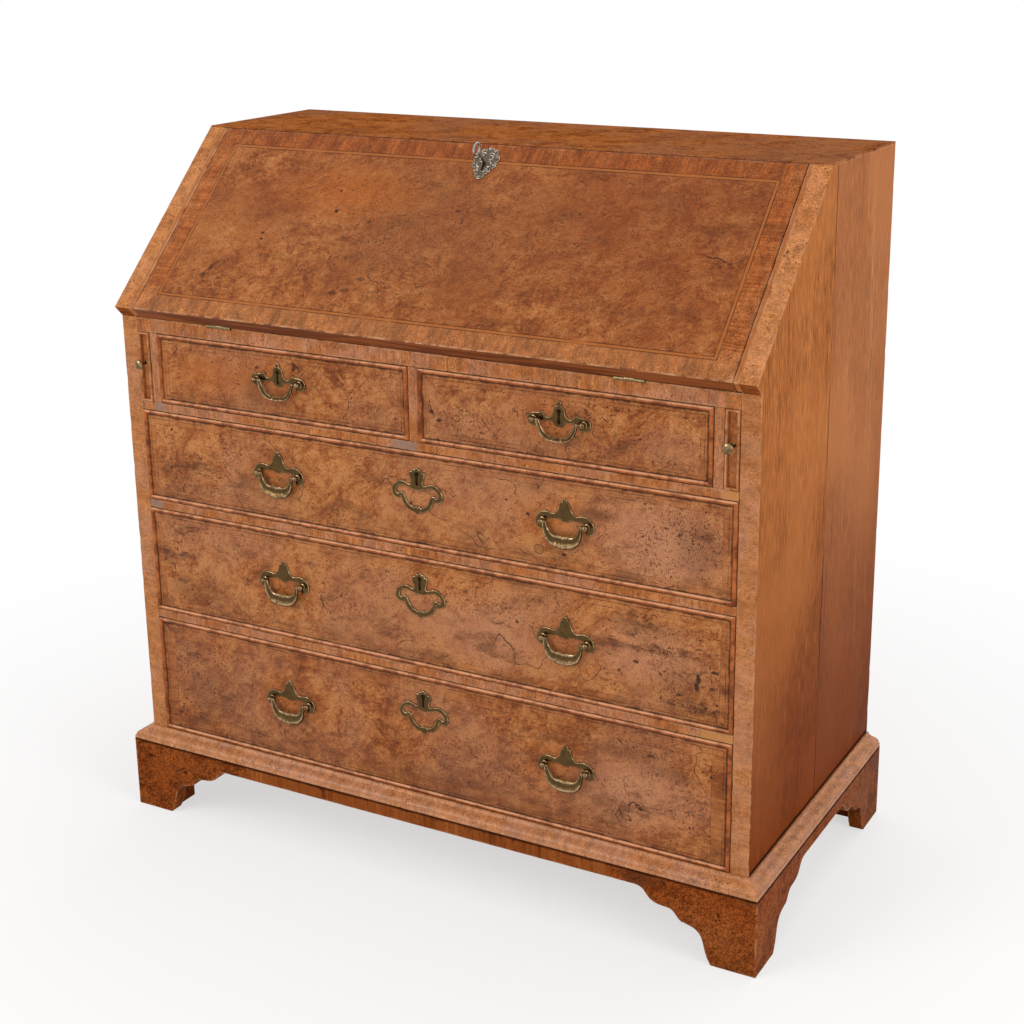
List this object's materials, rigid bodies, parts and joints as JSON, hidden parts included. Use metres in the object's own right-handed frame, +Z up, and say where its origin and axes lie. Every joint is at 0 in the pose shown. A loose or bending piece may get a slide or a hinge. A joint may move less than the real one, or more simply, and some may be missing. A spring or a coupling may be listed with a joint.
{
  "type": "writing bureau",
  "caption": "Sloping-fall writing bureau on bracket feet, with small and long drawers below, pull-out lopers, hanging handles and fitted pigeonholes inside.",
  "frame": {"origin": "on the floor under the middle of the bureau's width and depth", "axes": "+X to the right of someone who faces the front, +Y to the back, +Z up"},
  "size_m": [0.981, 0.4766, 0.9823],
  "materials": {
    "walnut_veneer": "old polished walnut, crossbanded and worn",
    "burr_walnut": "old polished burr walnut veneer",
    "oak_lining": "dry unpolished oak",
    "old_brass": "darkened brass, bright where it is rubbed",
    "dark_cast_brass": "dark cast brass",
    "dull_steel": "dull grey steel"
  },
  "bodies": {
    "carcass": {"side_left": "walnut_veneer", "side_right": "walnut_veneer", "top_board": "burr_walnut", "back_panel": "oak_lining", "bottom_board": "walnut_veneer", "writing_bed": "walnut_veneer", "drawer_divider": "walnut_veneer", "loper_divider_left": "walnut_veneer", "loper_divider_right": "walnut_veneer", "dustboard_upper": "walnut_veneer", "dustboard_middle": "walnut_veneer", "dustboard_lower": "walnut_veneer", "base_moulding": "walnut_veneer", "plinth_front": "walnut_veneer", "plinth_left": "walnut_veneer", "plinth_right": "walnut_veneer", "hinge_bed_leaf_left": "old_brass", "hinge_bed_leaf_right": "old_brass", "pigeonhole_unit": "walnut_veneer"},
    "fall": {"fall_board": "burr_walnut", "fall_lock": "dull_steel", "fall_escutcheon": "dark_cast_brass", "hinge_fall_leaf_left": "old_brass", "hinge_fall_leaf_right": "old_brass"},
    "key": {"fall_key": "dull_steel"},
    "loper_left": {"loper_left": "walnut_veneer", "loper_knob_left": "old_brass"},
    "loper_right": {"loper_right": "walnut_veneer", "loper_knob_right": "old_brass"},
    "small_drawer_left": {"drawer_front_small_left": "burr_walnut", "drawer_box_small_left": "oak_lining", "handle_plate_small_left": "old_brass"},
    "small_drawer_right": {"drawer_front_small_right": "burr_walnut", "drawer_box_small_right": "oak_lining", "handle_plate_small_right": "old_brass"},
    "upper_drawer": {"drawer_front_upper": "burr_walnut", "drawer_box_upper": "oak_lining", "handle_plate_upper_left": "old_brass", "handle_plate_upper_right": "old_brass", "escutcheon_upper": "old_brass"},
    "middle_drawer": {"drawer_front_middle": "burr_walnut", "drawer_box_middle": "oak_lining", "handle_plate_middle_left": "old_brass", "handle_plate_middle_right": "old_brass", "escutcheon_middle": "old_brass"},
    "lower_drawer": {"drawer_front_lower": "burr_walnut", "drawer_box_lower": "oak_lining", "handle_plate_lower_left": "old_brass", "handle_plate_lower_right": "old_brass", "escutcheon_lower": "old_brass"},
    "bail_small_left": {"bail_small_left": "old_brass"},
    "bail_small_right": {"bail_small_right": "old_brass"},
    "bail_upper_left": {"bail_upper_left": "old_brass"},
    "bail_upper_right": {"bail_upper_right": "old_brass"},
    "bail_middle_left": {"bail_middle_left": "old_brass"},
    "bail_middle_right": {"bail_middle_right": "old_brass"},
    "bail_lower_left": {"bail_lower_left": "old_brass"},
    "bail_lower_right": {"bail_lower_right": "old_brass"},
    "interior_drawer_left": {"interior_drawer_left": "walnut_veneer"},
    "interior_drawer_right": {"interior_drawer_right": "walnut_veneer"}
  },
  "joints": [
    {"name": "fall_hinge", "type": "hinge", "parent": "carcass", "child": "fall", "pos_m": [0, -0.21775, 0.74], "axis": [1, 0, 0], "range_deg": [0, 136]},
    {"name": "key_turn", "type": "hinge", "parent": "fall", "child": "key", "pos_m": [0, -0.01387, 0.93689], "axis": [0, -0.6947, 0.7193], "range_deg": [0, 90]},
    {"name": "loper_left_slide", "type": "slide", "parent": "carcass", "child": "loper_left", "axis": [0, -1, 0], "range_m": [0, 0.26]},
    {"name": "loper_right_slide", "type": "slide", "parent": "carcass", "child": "loper_right", "axis": [0, -1, 0], "range_m": [0, 0.26]},
    {"name": "small_drawer_left_slide", "type": "slide", "parent": "carcass", "child": "small_drawer_left", "axis": [0, -1, 0], "range_m": [0, 0.26]},
    {"name": "small_drawer_right_slide", "type": "slide", "parent": "carcass", "child": "small_drawer_right", "axis": [0, -1, 0], "range_m": [0, 0.26]},
    {"name": "upper_drawer_slide", "type": "slide", "parent": "carcass", "child": "upper_drawer", "axis": [0, -1, 0], "range_m": [0, 0.3]},
    {"name": "middle_drawer_slide", "type": "slide", "parent": "carcass", "child": "middle_drawer", "axis": [0, -1, 0], "range_m": [0, 0.3]},
    {"name": "lower_drawer_slide", "type": "slide", "parent": "carcass", "child": "lower_drawer", "axis": [0, -1, 0], "range_m": [0, 0.3]},
    {"name": "bail_small_left_swing", "type": "hinge", "parent": "small_drawer_left", "child": "bail_small_left", "pos_m": [-0.2094, -0.22515, 0.67645], "axis": [-1, 0, 0], "range_deg": [0, 85]},
    {"name": "bail_small_right_swing", "type": "hinge", "parent": "small_drawer_right", "child": "bail_small_right", "pos_m": [0.2094, -0.22515, 0.67645], "axis": [-1, 0, 0], "range_deg": [0, 85]},
    {"name": "bail_upper_left_swing", "type": "hinge", "parent": "upper_drawer", "child": "bail_upper_left", "pos_m": [-0.21667, -0.22515, 0.54685], "axis": [-1, 0, 0], "range_deg": [0, 85]},
    {"name": "bail_upper_right_swing", "type": "hinge", "parent": "upper_drawer", "child": "bail_upper_right", "pos_m": [0.21667, -0.22515, 0.54685], "axis": [-1, 0, 0], "range_deg": [0, 85]},
    {"name": "bail_middle_left_swing", "type": "hinge", "parent": "middle_drawer", "child": "bail_middle_left", "pos_m": [-0.21667, -0.22515, 0.3916], "axis": [-1, 0, 0], "range_deg": [0, 85]},
    {"name": "bail_middle_right_swing", "type": "hinge", "parent": "middle_drawer", "child": "bail_middle_right", "pos_m": [0.21667, -0.22515, 0.3916], "axis": [-1, 0, 0], "range_deg": [0, 85]},
    {"name": "bail_lower_left_swing", "type": "hinge", "parent": "lower_drawer", "child": "bail_lower_left", "pos_m": [-0.21667, -0.22515, 0.2147], "axis": [-1, 0, 0], "range_deg": [0, 85]},
    {"name": "bail_lower_right_swing", "type": "hinge", "parent": "lower_drawer", "child": "bail_lower_right", "pos_m": [0.21667, -0.22515, 0.2147], "axis": [-1, 0, 0], "range_deg": [0, 85]},
    {"name": "interior_drawer_left_slide", "type": "slide", "parent": "carcass", "child": "interior_drawer_left", "axis": [0, -1, 0], "range_m": [0, 0.12]},
    {"name": "interior_drawer_right_slide", "type": "slide", "parent": "carcass", "child": "interior_drawer_right", "axis": [0, -1, 0], "range_m": [0, 0.12]}
  ]
}
